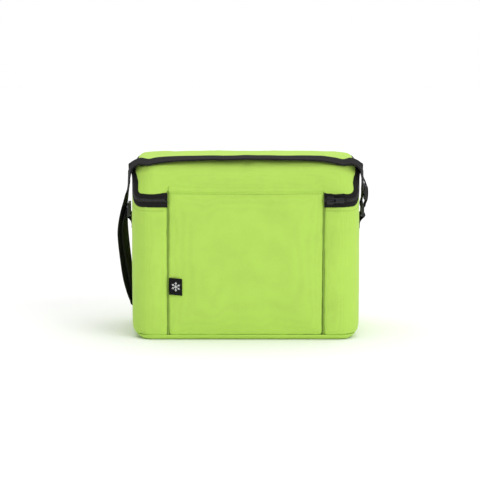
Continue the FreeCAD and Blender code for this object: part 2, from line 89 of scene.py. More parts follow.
def inset(z):
    """How far the rounded top and base edges draw the wall in at a height."""
    over = z - (TOP - TOP_EDGE)
    if over > 0:
        return TOP_EDGE - math.sqrt(max(TOP_EDGE**2 - over**2, 0.0))
    under = BASE_EDGE - z
    if under > 0:
        return BASE_EDGE - math.sqrt(max(BASE_EDGE**2 - under**2, 0.0))
    return 0.0


def lean(z):
    """The slope of the wall's normal at a height, as (level part, upward part)."""
    over = z - (TOP - TOP_EDGE)
    if over > 0:
        up = min(over / TOP_EDGE, 1.0)
        return math.sqrt(1 - up * up), up
    return 1.0, 0.0


def wall_at_y(y, z, out):
    """The wall's point on the right-hand side at a depth and height, moved outwards by out."""
    drawn = inset(z)
    radius = CORNER - drawn
    past = max(abs(y) - (HALF_Y - CORNER), 0.0)
    past = min(past, radius)
    level = Vector((math.sqrt(max(radius**2 - past**2, 0.0)), math.copysign(past, y), 0)) / radius
    x = HALF_X - CORNER + level.x * radius
    flat, up = lean(z)
    normal = Vector((level.x * flat, level.y * flat, up))
    return Vector((x, y, z)) + normal * out


def back_corner(degrees, z, out):
    """The wall's point on the right back corner; 0 degrees meets the side, 90 the back."""
    radius = CORNER - inset(z)
    way = Vector((math.cos(math.radians(degrees)), math.sin(math.radians(degrees)), 0))
    flat, up = lean(z)
    centre = Vector((HALF_X - CORNER, HALF_Y - CORNER, z))
    return centre + way * (radius + out * flat) + Vector((0, 0, up * out))


def rail(shift, out):
    """The zip's line round the bag, moved towards the lid by shift and outwards by out:
    from the front panel's left edge, round the back, to the panel's right edge."""
    half = []
    edge = PANEL_X + 0.3 * MM
    corner_x = HALF_X - CORNER
    front_z = ZIP_FRONT + shift
    for k in range(9):
        half.append(Vector((edge + (corner_x - edge) * k / 8, -HALF_Y - out, front_z)))
    profile = [(-HALF_Y + (LOW_CENTRE[0] + HALF_Y) * (k / 4) ** 2, front_z) for k in range(1, 5)]
    for k in range(1, 11):
        a = math.radians(-90 + 9 * k)
        r = LOW_ARC - shift
        profile.append((LOW_CENTRE[0] + r * math.cos(a), LOW_CENTRE[1] + r * math.sin(a)))
    climb = CLIMB_Y - shift
    for k in range(1, 7):
        profile.append((climb, LOW_CENTRE[1] + (HIGH_CENTRE[1] - LOW_CENTRE[1]) * k / 6))
    for k in range(1, 11):
        a = math.radians(180 - 9 * k)
        r = HIGH_ARC + shift
        profile.append((HIGH_CENTRE[0] + r * math.cos(a), HIGH_CENTRE[1] + r * math.sin(a)))
    side_z = ZIP_SIDE + shift
    for k in range(1, 25):
        y = HIGH_CENTRE[0] + (HALF_Y - CORNER - HIGH_CENTRE[0]) * k / 24
        profile.append((y, side_z))
    half += [wall_at_y(y, z, out) for y, z in profile]
    half += [back_corner(9 * k, side_z, out) for k in range(1, 11)]
    back_y = half[-1].y
    start_x = half[-1].x
    for k in range(1, 25):
        half.append(Vector((start_x * (1 - k / 24), back_y, half[-1].z)))
    mirrored = [Vector((-p.x, p.y, p.z)) for p in half]
    return mirrored + half[-2::-1]


def zip_shift(y, z):
    """How far a point lies on the lid's side of the zip's line, seen from the side."""
    if y >= HIGH_CENTRE[0]:
        return z - ZIP_SIDE
    if z >= HIGH_CENTRE[1]:
        return math.hypot(y - HIGH_CENTRE[0], z - HIGH_CENTRE[1]) - HIGH_ARC
    if z >= LOW_CENTRE[1]:
        return CLIMB_Y - y
    if y >= LOW_CENTRE[0]:
        return LOW_ARC - math.hypot(y - LOW_CENTRE[0], z - LOW_CENTRE[1])
    return z - ZIP_FRONT


# ---------------------------------------------------------------- mesh helpers


def new_mesh(name, vertices, faces, smooth=True):
    mesh = bpy.data.meshes.new(name)
    mesh.from_pydata([tuple(v) for v in vertices], [], faces)
    mesh.validate()
    made = bmesh.new()
    made.from_mesh(mesh)
    bmesh.ops.recalc_face_normals(made, faces=made.faces)
    made.to_mesh(mesh)
    made.free()
    mesh.polygons.foreach_set("use_smooth", [smooth] * len(mesh.polygons))
    piece = bpy.data.objects.new(name, mesh)
    bpy.context.scene.collection.objects.link(piece)
    return piece


def sweep(name, sections, closed_ends=True):
    """A closed skin through sections, each a loop with the same number of points."""
    count = len(sections[0])
    vertices = [p for section in sections for p in section]
    faces = []
    for i in range(len(sections) - 1):
        for k in range(count):
            a, b = i * count + k, i * count + (k + 1) % count
            faces.append((a, b, b + count, a + count))
    if closed_ends:
        faces.append(tuple(range(count)))
        last = (len(sections) - 1) * count
        faces.append(tuple(range(last + count - 1, last - 1, -1)))
    return new_mesh(name, vertices, faces)


def apply_modifiers(piece):
    graph = bpy.context.evaluated_depsgraph_get()
    mesh = bpy.data.meshes.new_from_object(piece.evaluated_get(graph))
    old = piece.data
    piece.modifiers.clear()
    piece.data = mesh
    bpy.data.meshes.remove(old)


def shade_smooth(piece):
    piece.data.polygons.foreach_set("use_smooth", [True] * len(piece.data.polygons))


def coordinates(piece):
    co = np.empty(len(piece.data.vertices) * 3, np.float32)
    piece.data.vertices.foreach_get("co", co)
    return co.reshape(-1, 3).astype(float)


def set_coordinates(piece, co):
    piece.data.vertices.foreach_set("co", co.astype(np.float32).ravel())
    piece.data.update()


def finish_piece(piece, body, slot, material, *replaced):
    """Gives a piece its material and body, and leaves its slot unused; a piece that bends across a joint has
    no body.
    """
    piece.data.materials.clear()
    piece.data.materials.append(material)
    if body:
        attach(piece, body)
    if replaced:
        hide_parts(*replaced)


# ---------------------------------------------------------------- materials


class Nodes:
    """Short calls for building a material's nodes."""

    def __init__(self, name):
        self.material = bpy.data.materials.new(name)
        self.material.use_nodes = True
        self.tree = self.material.node_tree
        self.shader = self.tree.nodes["Principled BSDF"]

    def add(self, kind, **settings):
        node = self.tree.nodes.new(kind)
        for key, setting in settings.items():
            setattr(node, key, setting)
        return node

    def link(self, start, end):
        self.tree.links.new(start, end)

    def maths(self, operation, first, second=None):
        node = self.add("ShaderNodeMath", operation=operation)
        for socket, term in zip(node.inputs, (first, second)):
            if term is None:
                continue
            if isinstance(term, (int, float)):
                socket.default_value = term
            else:
                self.link(term, socket)
        return node.outputs[0]

    def place(self, output="Object"):
        return self.add("ShaderNodeTexCoord").outputs[output]

    def noise(self, where, scale, detail=3.0, roughness=0.55):
        node = self.add("ShaderNodeTexNoise")
        node.inputs["Scale"].default_value = scale
        node.inputs["Detail"].default_value = detail
        node.inputs["Roughness"].default_value = roughness
        self.link(where, node.inputs["Vector"])
        return node.outputs["Fac"]

    def ramp(self, factor, stops):
        node = self.add("ShaderNodeValToRGB")
        elements = node.color_ramp.elements
        while len(elements) < len(stops):
            elements.new(0.5)
        for element, (place, colour) in zip(elements, stops):
            element.position = place
            element.color = (*colour, 1)
        self.link(factor, node.inputs["Fac"])
        return node.outputs["Color"]

    def bump(self, height, strength, distance, before=None):
        node = self.add("ShaderNodeBump")
        node.inputs["Strength"].default_value = strength
        node.inputs["Distance"].default_value = distance
        self.link(height, node.inputs["Height"])
        if before:
            self.link(before, node.inputs["Normal"])
        return node.outputs["Normal"]

    def waves(self, where, period, axes="XYZ"):
        """The sum of one sine along each axis, each with the same period in metres."""
        split = self.add("ShaderNodeSeparateXYZ")
        self.link(where, split.inputs[0])
        total = None
        for axis in axes:
            turned = self.maths("MULTIPLY", split.outputs[axis], 2 * math.pi / period)
            wave = self.maths("SINE", turned)
            total = wave if total is None else self.maths("ADD", total, wave)
        return total

    def set(self, **values):
        for key, setting in values.items():
            self.shader.inputs[key.replace("_", " ")].default_value = setting


def spread(colour, amount):
    """A colour made lighter or darker by a share."""
    return tuple(max(c * (1 + amount), 0.0) for c in colour)


def woven(name, colour, period, rough=0.75, depth=0.16, variation=0.07, blotch=30.0, gloss=0.25):
    """Plain-woven cloth: a basket of threads, slubs, and slow changes of shade."""
    n = Nodes(name)
    where = n.place()
    threads = n.waves(where, period)
    slubs = n.noise(where, 0.9 / period, 4.0, 0.65)
    broad = n.noise(where, blotch, 3.0)
    shade = n.maths("ADD", n.maths("MULTIPLY", threads, 0.045), n.maths("MULTIPLY", slubs, 0.5))
    shade = n.maths("ADD", shade, n.maths("MULTIPLY", broad, 0.5))
    tint = n.ramp(
        shade,
        [(0.2, spread(colour, -variation * 1.6)), (0.5, colour), (0.8, spread(colour, variation))],
    )
    n.link(tint, n.shader.inputs["Base Color"])
    roughness = n.add("ShaderNodeMapRange")
    roughness.inputs["To Min"].default_value = rough - 0.08
    roughness.inputs["To Max"].default_value = rough + 0.1
    n.link(slubs, roughness.inputs["Value"])
    n.link(roughness.outputs["Result"], n.shader.inputs["Roughness"])
    soft = n.bump(n.noise(where, 140.0, 3.0), depth * 1.2, 0.6 * MM)
    fine = n.bump(threads, depth, 0.15 * MM, soft)
    n.link(fine, n.shader.inputs["Normal"])
    n.set(Sheen_Weight=gloss / 4, Sheen_Roughness=0.5, Specular_IOR_Level=gloss)
    return n.material


def ribbed(name, colour, pitch):
    """Webbing: cross ribs in lanes, from its own length and width, with painted shade in the rib grooves and
    a painted highlight on the rib crests.
    """
    n = Nodes(name)
    where = n.place("UV")
    split = n.add("ShaderNodeSeparateXYZ")
    n.link(where, split.inputs[0])
    lanes = n.maths("SINE", n.maths("MULTIPLY", split.outputs["X"], 2 * math.pi / (4.2 * MM)))
    skew = n.maths("MULTIPLY", lanes, 0.9)
    along = n.maths("MULTIPLY", split.outputs["Y"], 2 * math.pi / pitch)
    ribs = n.maths("SINE", n.maths("ADD", along, skew))
    height = n.maths("ADD", n.maths("MULTIPLY", ribs, 0.6), n.maths("MULTIPLY", lanes, 0.4))
    fuzz = n.noise(n.place(), 1400.0, 4.0, 0.7)
    # Painted shade and highlight: darker in the rib grooves and lighter on the rib crests, following the
    # ribs' height, plus random fuzz in tone.
    rib_shade_and_fuzz = n.maths("ADD", n.maths("MULTIPLY", height, 0.22), fuzz)
    tint = n.ramp(rib_shade_and_fuzz, [(0.25, spread(colour, -0.45)), (0.6, colour), (0.95, spread(colour, 1.1))])
    n.link(tint, n.shader.inputs["Base Color"])
    n.link(n.bump(height, 0.55, 0.35 * MM), n.shader.inputs["Normal"])
    n.set(Roughness=0.72, Sheen_Weight=0.02, Sheen_Roughness=0.4, Specular_IOR_Level=0.12)
    return n.material


def moulded(name, colour, rough, metallic=0.0):
    """Moulded plastic or painted metal with a fine even grain."""
    n = Nodes(name)
    where = n.place()
    grain = n.noise(where, 900.0, 3.0)
    tint = n.ramp(grain, [(0.3, spread(colour, -0.2)), (0.7, spread(colour, 0.25))])
    n.link(tint, n.shader.inputs["Base Color"])
    spreader = n.add("ShaderNodeMapRange")
    spreader.inputs["To Min"].default_value = rough - 0.07
    spreader.inputs["To Max"].default_value = rough + 0.09
    n.link(n.noise(where, 220.0), spreader.inputs["Value"])
    n.link(spreader.outputs["Result"], n.shader.inputs["Roughness"])
    n.link(n.bump(grain, 0.08, 0.1 * MM), n.shader.inputs["Normal"])
    n.set(Metallic=metallic, Specular_IOR_Level=0.5)
    return n.material


def foil(name, colour):
    """Silver lining film with soft creases and a fine embossed grid."""
    n = Nodes(name)
    where = n.place()
    creases = n.add("ShaderNodeTexVoronoi", feature="DISTANCE_TO_EDGE")
    creases.inputs["Scale"].default_value = 34.0
    n.link(where, creases.inputs["Vector"])
    broad = n.noise(where, 26.0, 5.0, 0.6)
    tint = n.ramp(broad, [(0.3, spread(colour, -0.12)), (0.7, spread(colour, 0.08))])
    n.link(tint, n.shader.inputs["Base Color"])
    crumple = n.bump(n.maths("ADD", creases.outputs["Distance"], broad), 0.35, 1.2 * MM)
    n.link(n.bump(n.waves(where, 2.2 * MM), 0.12, 0.15 * MM, crumple), n.shader.inputs["Normal"])
    n.set(Roughness=0.38, Metallic=0.55, Specular_IOR_Level=0.5)
    return n.material


LIME = (0.49, 0.752, 0.117)
BLACK = (0.014, 0.013, 0.014)
lime = woven("lime_polyester", LIME, 0.9 * MM)
TAPE_BLACK = (0.012, 0.0115, 0.011)
tape_cloth = woven("zip_tape_cloth", TAPE_BLACK, 0.7 * MM, depth=0.2, variation=0.35, gloss=0.12)
binding_cloth = woven("binding_cloth", BLACK, 0.8 * MM, variation=0.3, gloss=0.12)
label_cloth = woven("label_cloth", (0.009, 0.009, 0.010), 0.5 * MM, variation=0.3, gloss=0.1)
mark_thread = woven("label_thread", (0.75, 0.75, 0.76), 0.5 * MM, rough=0.6)
# Painted shade: the lime cloth at half its brightness, so the seam cords show the shade that falls in the
# seam creases.
seam_shade_cloth = woven("seam_shade_cloth", spread(LIME, -0.5), 0.6 * MM, rough=0.8)
lime_thread = woven("lime_thread", spread(LIME, -0.4), 0.6 * MM, rough=0.5)
black_thread = woven("black_thread", (0.03, 0.029, 0.031), 0.6 * MM, rough=0.5, variation=0.3)
webbing = ribbed("webbing", (0.015, 0.0145, 0.015), 1.5 * MM)
coil = moulded("zip_coil_nylon", (0.026, 0.025, 0.025), 0.4)
plastic = moulded("black_acetal", (0.012, 0.012, 0.0125), 0.38)
paint = moulded("black_paint", (0.026, 0.026, 0.028), 0.28, metallic=0.6)
silver = foil("silver_film", (0.62, 0.63, 0.65))


# ---------------------------------------------------------------- padded panels

VOXEL = 3.6 * MM


def cad_copy(name, nodes):
    """One mesh object holding copies of CAD nodes."""
    made = bmesh.new()
    for node in nodes:
        made.from_mesh(frame["nodes"][node].data)
    mesh = bpy.data.meshes.new(name)
    made.to_mesh(mesh)
    made.free()
    piece = bpy.data.objects.new(name, mesh)
    bpy.context.scene.collection.objects.link(piece)
    return piece


def outside_by(p):
    """How far a point lies inside the bag's outer face: 0 on the face, more towards the middle."""
    x, y = abs(p[0]), abs(p[1])
    past_x, past_y = x - (HALF_X - CORNER), y - (HALF_Y - CORNER)
    if past_x > 0 and past_y > 0:
        level = CORNER - math.hypot(past_x, past_y)
    else:
        level = min(HALF_X - x, HALF_Y - y)
    return min(level, TOP - p[2])


def inflate(piece, held, limit, pressure):
    """Blows the piece up by cloth simulation, except where held says so, and caps the movement."""
    rest = coordinates(piece)
    fixed = [i for i, p in enumerate(rest) if held(p)]
    group = piece.vertex_groups.new(name="seams")
    group.add(fixed, 1.0, "REPLACE")
    modifier = piece.modifiers.new("Cloth", "CLOTH")
    settings = modifier.settings
    settings.vertex_group_mass = "seams"
    settings.use_pressure = True
    settings.uniform_pressure_force = pressure
    settings.effector_weights.gravity = 0.0
    settings.quality = 4
    settings.mass = 0.2
    settings.tension_stiffness = 18
    settings.compression_stiffness = 12
    settings.bending_stiffness = 1.2
    scene = bpy.context.scene
    for number in range(1, 19):
        scene.frame_set(number)
    graph = bpy.context.evaluated_depsgraph_get()
    swollen = piece.evaluated_get(graph).to_mesh()
    co = np.array([v.co for v in swollen.vertices])
    piece.evaluated_get(graph).to_mesh_clear()
    piece.modifiers.clear()
    scene.frame_set(1)
    moved = co - rest
    length = np.linalg.norm(moved, axis=1, keepdims=True)
    moved *= limit * np.tanh(length / limit) / np.maximum(length, 1e-9)
    set_coordinates(piece, rest + moved)
    piece.vertex_groups.clear()


def ruffle(piece, near_seam, seed):
    """Soft unevenness all over, and short gathers that fade away from the seams."""
    co = coordinates(piece)
    normals = np.empty(len(co) * 3, np.float32)
    piece.data.vertex_normals.foreach_get("vector", normals)
    normals = normals.reshape(-1, 3)
    for i, p in enumerate(co):
        v = Vector(p)
        amount = 0.75 * MM * noise.noise(v * 20 + seed) + 0.2 * MM * noise.noise(v * 70 + seed)
        upright_fold = Vector((v.x * 55, v.y * 55, v.z * 9))
        amount += 0.45 * MM * noise.noise(upright_fold + seed)
        close = near_seam(p)
        if close < 22 * MM:
            fade = 1 - close / (22 * MM)
            amount += 0.55 * MM * fade * noise.noise(v * 130 + seed)
        outer = 1 - smooth_step(outside_by(p), 2.5 * MM, 4.5 * MM)
        co[i] += normals[i] * amount * outer
    set_coordinates(piece, co)


def tuck_base(piece):
    """Rounds the two lower ends of the bag, so its sides curve in before they reach the floor."""
    co = coordinates(piece)
    for p in co:
        past = abs(p[0]) - (HALF_X - BASE_ROUND)
        if past > 0 and p[2] < BASE_ROUND:
            kept = math.sqrt(BASE_ROUND**2 - (BASE_ROUND - max(p[2], 0.0)) ** 2) / BASE_ROUND
            narrower = past * (1 - kept)
            p[0] -= math.copysign(min(narrower, BASE_TUCK), p[0])
    set_coordinates(piece, co)


def padded_panel(name, nodes, body, held, near_seam, limit, pressure=4.0, seed=0.0):
    piece = cad_copy(name, nodes)
    remesh = piece.modifiers.new("Remesh", "REMESH")
    remesh.mode = "VOXEL"
    remesh.voxel_size = VOXEL
    remesh.adaptivity = 0.0
    apply_modifiers(piece)
    inner = 4.2 * MM
    inflate(piece, lambda p: outside_by(p) > inner or held(p), limit, pressure)
    piece.modifiers.new("Subdivision", "SUBSURF").levels = 1
    apply_modifiers(piece)
    ruffle(piece, near_seam, Vector((seed, seed * 1.7, -seed)))
    tuck_base(piece)
    shade_smooth(piece)
    finish_piece(piece, body, "lime_polyester", lime, *nodes)
    return piece


def smooth_step(value, low, high):
    share = min(max((value - low) / (high - low), 0.0), 1.0)
    return share * share * (3 - 2 * share)


def press_corners(piece, depth):
    """Lowers the lid's two front top corners, where the taut strap presses on them."""
    co = coordinates(piece)
    for p in co:
        share = smooth_step(abs(p[0]), 84 * MM, 126 * MM) * smooth_step(-p[1], 46 * MM, 68 * MM)
        share *= 1 - smooth_step(outside_by(p), 2 * MM, 5 * MM)
        p[2] -= depth * share * smooth_step(p[2], TOP - 2.2 * TOP_EDGE, TOP - 0.3 * TOP_EDGE)
    set_coordinates(piece, co)


RING_Z = 145 * MM
FLAT_ROUND_RING = 20 * MM
FULL_BULGE_FROM = 44 * MM
SIDE_BULGE = 2.2 * MM


def dimple(piece):
    """Flattens a side cushion round its ring, where the tab is sewn through to the foam."""
    co = coordinates(piece)
    for p in co:
        away = math.hypot(p[1], p[2] - RING_Z)
        most = HALF_X + SIDE_BULGE * smooth_step(away, FLAT_ROUND_RING, FULL_BULGE_FROM)
        p[0] = math.copysign(min(abs(p[0]), most), p[0])
    set_coordinates(piece, co)


SEAM_HOLD = 3.0 * MM


def panel_edge(p):
    """Distance to the nearest edge of the front or back panel."""
    return min(PANEL_X - abs(p[0]), p[2] - BASE_SEAM, PANEL_TOP - p[2])


def back_edge(p):
    return min(PANEL_X - abs(p[0]), p[2] - BASE_SEAM, WALL_TOP - p[2])


def gusset_edge(p):
    """Distance to the nearest edge of a side gusset."""
    across = abs(p[0]) - PANEL_X if abs(p[1]) > HALF_Y - 9 * MM else 1.0
    return min(across, p[2] - BASE_SEAM, -TAPE - zip_shift(p[1], p[2]))


def lid_edge(p):
    """Distance to the nearest edge of the lid's cover."""
    near = zip_shift(p[1], p[2]) - TAPE
    if abs(p[0]) < PANEL_X + 2 * MM and p[1] < CLIMB_Y:
        near = p[2] - HINGE.z
    return near


padded_panel(
    "front_cushion", ["front_panel", "foam_front"], "bag",
    lambda p: panel_edge(p) < SEAM_HOLD, panel_edge, 3.4 * MM, seed=1.3,
)
padded_panel(
    "back_cushion", ["back_panel", "foam_back"], "bag",
    lambda p: back_edge(p) < SEAM_HOLD, back_edge, 4.0 * MM, seed=5.1,
)
for side, seed in (("left", 2.2), ("right", 3.9)):
    side_cushion = padded_panel(
        f"gusset_cushion_{side}", [f"side_gusset_{side}", f"foam_{side}"], "bag",
        lambda p: gusset_edge(p) < SEAM_HOLD, gusset_edge, 3.8 * MM, seed=seed,
    )
    dimple(side_cushion)
lid_cushion = padded_panel(
    "lid_cushion", ["lid_cover", "lid_top_foam", "lid_flap_foam"], "lid",
    lambda p: lid_edge(p) < SEAM_HOLD, lid_edge, 4.2 * MM, seed=7.7,
)
press_corners(lid_cushion, 3.4 * MM)


# ---------------------------------------------------------------- zip


def rail_sweep(name, loop, body, slot, material, *replaced):
    """A band that follows the zip's line; the loop gives its section as (shift, out) pairs."""
    rails = [rail(shift * MM, out * MM) for shift, out in loop]
    piece = sweep(name, list(zip(*rails)))
    finish_piece(piece, body, slot, material, *replaced)
    return piece


TAPE_SECTION = [
    (1.3, 0.1), (1.3, 0.45), (2.6, 0.65), (5.0, 0.5), (6.6, 0.1), (8.6, -0.9), (8.6, -1.6), (1.3, -0.6),
]
for side, sign, body in (("lower", -1, "bag"), ("upper", 1, "lid")):
    section = [(sign * shift, out) for shift, out in TAPE_SECTION]
    rail_sweep(f"tape_{side}", section, body, "zip_tape", tape_cloth, f"zip_tape_{side}")


def spaced(points, pitch, offset=0.0):
    """Places along a line of points at an even pitch, as (point, direction)."""
    found = []
    travelled, target = 0.0, offset
    for a, b in zip(points, points[1:]):
        step = (b - a).length
        while target <= travelled + step and step > 0:
            found.append((a.lerp(b, (target - travelled) / step), (b - a).normalized()))
            target += pitch
        travelled += step
    return found


def beads(name, places, half_sizes):
    """Many small rounded blocks, one at each (centre, along, across) place."""
    long, wide, tall = half_sizes
    ring = [(math.cos(math.radians(a)), math.sin(math.radians(a))) for a in range(0, 360, 45)]
    vertices, faces = [], []
    for centre, along, across in places:
        up = along.cross(across).normalized()
        first = len(vertices)
        for share, size in ((-1.0, 0.45), (-0.7, 1.0), (0.7, 1.0), (1.0, 0.45)):
            for c, s in ring:
                level = along * (share * long) + across * (c * wide * size)
                vertices.append(centre + level + up * (s * tall * size))
        for k in range(3):
            for j in range(8):
                a, b = first + 8 * k + j, first + 8 * k + (j + 1) % 8
                faces.append((a, b, b + 8, a + 8))
        faces.append(tuple(first + j for j in range(7, -1, -1)))
        faces.append(tuple(first + 24 + j for j in range(8)))
    return new_mesh(name, vertices, faces)


def teeth(name, sign, body, offset):
    """One tape's coil: short turns side by side across the zip's line."""
    near, far = rail(sign * -0.55 * MM, 0.75 * MM), rail(sign * 2.3 * MM, 0.75 * MM)
    middle = [(a + b) / 2 for a, b in zip(near, far)]
    reach = [(b - a).normalized() for a, b in zip(near, far)]
    places = []
    for point, along in spaced(middle, 1.5 * MM, offset):
        nearest = min(range(len(middle)), key=lambda i: (middle[i] - point).length_squared)
        places.append((point, reach[nearest], along))
    piece = beads(name, places, (1.42 * MM, 0.5 * MM, 0.62 * MM))
    finish_piece(piece, body, "zip_coil", coil, f"zip_teeth_{'lower' if sign < 0 else 'upper'}")


teeth("coil_lower", -1, "bag", 2.4 * MM)
teeth("coil_upper", 1, "lid", 3.15 * MM)

# ---------------------------------------------------------------- base and seams


def rounded_loop(half_x, half_y, radius, z, step=3 * MM):
    """Points round a level rectangle with round corners, at an even spacing."""
    corners = ((1, 1), (-1, 1), (-1, -1), (1, -1))
    points = []
    for number, (sx, sy) in enumerate(corners):
        centre = Vector((sx * (half_x - radius), sy * (half_y - radius), z))
        for k in range(13):
            a = math.radians(90 * number + 7.5 * k)
            points.append(centre + radius * Vector((math.cos(a), math.sin(a), 0)))
        sx2, sy2 = corners[(number + 1) % 4]
        following = Vector((sx2 * (half_x - radius), sy2 * (half_y - radius), z))
        a = math.radians(90 * (number + 1))
        end = following + radius * Vector((math.cos(a), math.sin(a), 0))
        count = max(int((HALF_X * 2 if number % 2 == 0 else HALF_Y * 2) / step), 2)
        start = points[-1]
        points += [start.lerp(end, k / count) for k in range(1, count)]
    return points


def base():
    """The floor panel with its turned-up edge, slightly puckered along its seam."""
    rings = [(3.6, 4.4), (2.0, 4.6), (1.3, 4.2), (1.2, 3.4), (1.9, 2.0), (3.5, 0.8), (5.8, 0.15), (8.5, 0.0)]
    rings += [(8 + 9 * k, 0.25 if k < 6 else 0.4) for k in range(1, 8)]
    sections = []
    for draw, z in rings:
        radius = max(CORNER - draw * MM, 2 * MM)
        sections.append(rounded_loop(HALF_X - draw * MM, HALF_Y - draw * MM, radius, z * MM))
    for section, (draw, z) in zip(sections, rings):
        for p in section:
            pucker = 0.45 * MM * noise.noise(p * 90) if draw < 4 else 0.3 * MM * noise.noise(p * 30)
            out = Vector((p.x, p.y, 0)).normalized()
            p += out * pucker if draw < 4 else Vector((0, 0, abs(pucker)))
    sections.append([Vector((p.x, p.y, 4.3 * MM)) for p in sections[-1]])
    piece = sweep("base_shell", sections + [sections[0]], closed_ends=False)
    merge = bmesh.new()
    merge.from_mesh(piece.data)
    bmesh.ops.remove_doubles(merge, verts=merge.verts, dist=1e-6)
    rim = [e for e in merge.edges if e.is_boundary]
    if rim:
        bmesh.ops.holes_fill(merge, edges=rim)
    bmesh.ops.recalc_face_normals(merge, faces=merge.faces)
    merge.to_mesh(piece.data)
    merge.free()
    shade_smooth(piece)
    tuck_base(piece)
    finish_piece(piece, "bag", "lime_polyester", lime, "base_panel", "foam_base")


base()


def seam_cord(name, points, radius, body, material):
    """A thin round fold of cloth that closes a seam between two cushions."""
    sections = []
    for i, p in enumerate(points):
        along = (points[min(i + 1, len(points) - 1)] - points[max(i - 1, 0)]).normalized()
        side = along.cross(Vector((0, 0, 1)) if abs(along.z) < 0.9 else Vector((1, 0, 0))).normalized()
        up = along.cross(side)
        ring = [math.radians(a) for a in range(0, 360, 45)]
        sections.append([p + radius * (math.cos(a) * side + math.sin(a) * up) for a in ring])
    piece = sweep(name, sections)
    tuck_base(piece)
    finish_piece(piece, body, "lime_polyester", material)


SEAM_DEPTH = 2.1 * MM
SEAM_ROUND = 1.1 * MM


def upright(x, y, low, high, step=4 * MM):
    count = int((high - low) / step)
    return [Vector((x, y, low + (high - low) * k / count)) for k in range(count + 1)]


def stitches(name, places, body, material, slot="lime_polyester"):
    """A row of short thread stitches from (centre, along, across) places."""
    piece = beads(name, places, (1.25 * MM, 0.24 * MM, 0.2 * MM))
    finish_piece(piece, body, slot, material)
    return piece


# The front and back seam cords wear the painted-shade lime, darker than the cloth round them.
for side, x in (("left", -PANEL_X), ("right", PANEL_X)):
    walls = (("front", SEAM_DEPTH - HALF_Y, PANEL_TOP - 1 * MM), ("back", HALF_Y - SEAM_DEPTH, WALL_TOP))
    for face, y, top in walls:
        seam_cord(f"seam_{face}_{side}", upright(x, y, BASE_SEAM, top), SEAM_ROUND, "bag", seam_shade_cloth)
around = rounded_loop(HALF_X - SEAM_DEPTH, HALF_Y - SEAM_DEPTH, CORNER - SEAM_DEPTH, BASE_SEAM + 0.5 * MM)
seam_cord("seam_base", around + around[:1], 1.5 * MM, "bag", lime)


FOLD_SECTION = [
    (-2.2, -1.0), (-1.7, -0.2), (-0.6, 0.6), (1.2, 1.0), (3.0, 0.95),
    (4.8, 0.5), (6.2, -0.4), (6.2, -1.8), (-2.2, -1.8),
]


def hinge_fold():
    """The strip of cloth that joins the lid to the front panel; its row of stitches is made further down."""
    sections = []
    for k in range(93):
        x = (2 * k / 92 - 1) * (PANEL_X - 0.8 * MM)
        droop = -0.8 * MM * (1 - (x / PANEL_X) ** 2)
        wave = 0.25 * MM * noise.noise(Vector((x * 60, 3.1, 0)))
        section = []
        for up, out in FOLD_SECTION:
            y = -HALF_Y + 0.9 * MM - out * MM + wave
            section.append(Vector((x, y, HINGE.z + droop + up * MM)))
        sections.append(section)
    piece = sweep("hinge_fold", sections)
    finish_piece(piece, None, "lime_polyester", lime)
    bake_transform(piece)


hinge_fold()

# ---------------------------------------------------------------- lining and bindings


def crumpled(name, node, body, depth):
    """A lining film: the CAD sheet cut into small facets and creased towards the middle."""
    piece = cad_copy(name, [node])
    cut = bmesh.new()
    cut.from_mesh(piece.data)
    low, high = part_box(node)
    for axis in range(3):
        normal = Vector([1.0 if i == axis else 0.0 for i in range(3)])
        count = int((high[axis] - low[axis]) / (9 * MM))
        for k in range(1, count):
            at = low.lerp(high, k / count)
            whole = cut.verts[:] + cut.edges[:] + cut.faces[:]
            bmesh.ops.bisect_plane(cut, geom=whole, plane_co=at, plane_no=normal)
    centre = Vector((0, 0, (low.z + high.z) / 2))
    for v in cut.verts:
        room = min(abs(zip_shift(v.co.y, v.co.z)) / (14 * MM), 1.0)
        crease = 0.5 + 0.5 * noise.noise(v.co * 38) + 0.35 * noise.noise(v.co * 105)
        v.co += (centre - v.co).normalized() * depth * (0.7 + max(crease, 0.0)) * room
    cut.to_mesh(piece.data)
    cut.free()
    shade_smooth(piece)
    piece.data.set_sharp_from_angle(angle=math.radians(50))
    finish_piece(piece, body, "silver_lining", silver, node)


crumpled("lining", "liner", "bag", 1.8 * MM)
crumpled("lid_lining", "lid_liner", "lid", 1.4 * MM)
rim_loop = [
    (-7.6, -1.3), (-6.3, -1.5), (-5.9, -3.0), (-5.9, -6.4), (-6.4, -7.9),
    (-8.2, -8.9), (-11.5, -8.9), (-11.5, -8.0), (-8.2, -8.0),
]
rail_sweep("rim_edge_tape", rim_loop, "bag", "black_binding", binding_cloth, "rim_binding")
lid_loop = [
    (1.9, -1.3), (1.0, -1.6), (0.6, -3.0), (0.6, -6.4), (1.1, -7.9),
    (2.9, -8.9), (6.2, -8.9), (6.2, -8.0), (2.9, -8.0),
]
rail_sweep("lid_edge_tape", lid_loop, "lid", "black_binding", binding_cloth, "lid_binding")

# ---------------------------------------------------------------- webbing


def curve_through(stations, step):
    """A smooth line through (centre, across) stations, sampled at a step."""
    found = []
    count = len(stations)
    for i in range(count - 1):
        before, start, end, after = (stations[min(max(i + k, 0), count - 1)] for k in (-1, 0, 1, 2))
        parts = max(int((end[0] - start[0]).length / step), 1)
        for k in range(parts + (i == count - 2)):
            u = k / parts
            weights = (
                0.5 * (-(u**3) + 2 * u**2 - u),
                0.5 * (3 * u**3 - 5 * u**2 + 2),
                0.5 * (-3 * u**3 + 4 * u**2 + u),
                0.5 * (u**3 - u**2),
            )
            four = (before, start, end, after)
            centre = sum((w * s[0] for w, s in zip(weights, four)), Vector())
            across = sum((w * s[1] for w, s in zip(weights, four)), Vector())
            found.append((centre, across.normalized()))
    return found


WEB = 25 * MM
WEB_THICK = 1.7 * MM
HALF_EDGE = [(1.0, 0.0), (0.985, 0.62), (0.93, 1.0), (0.6, 0.86), (0.2, 0.92)]
EDGE_ROUND = HALF_EDGE + [(-u, t) for u, t in HALF_EDGE[::-1]]


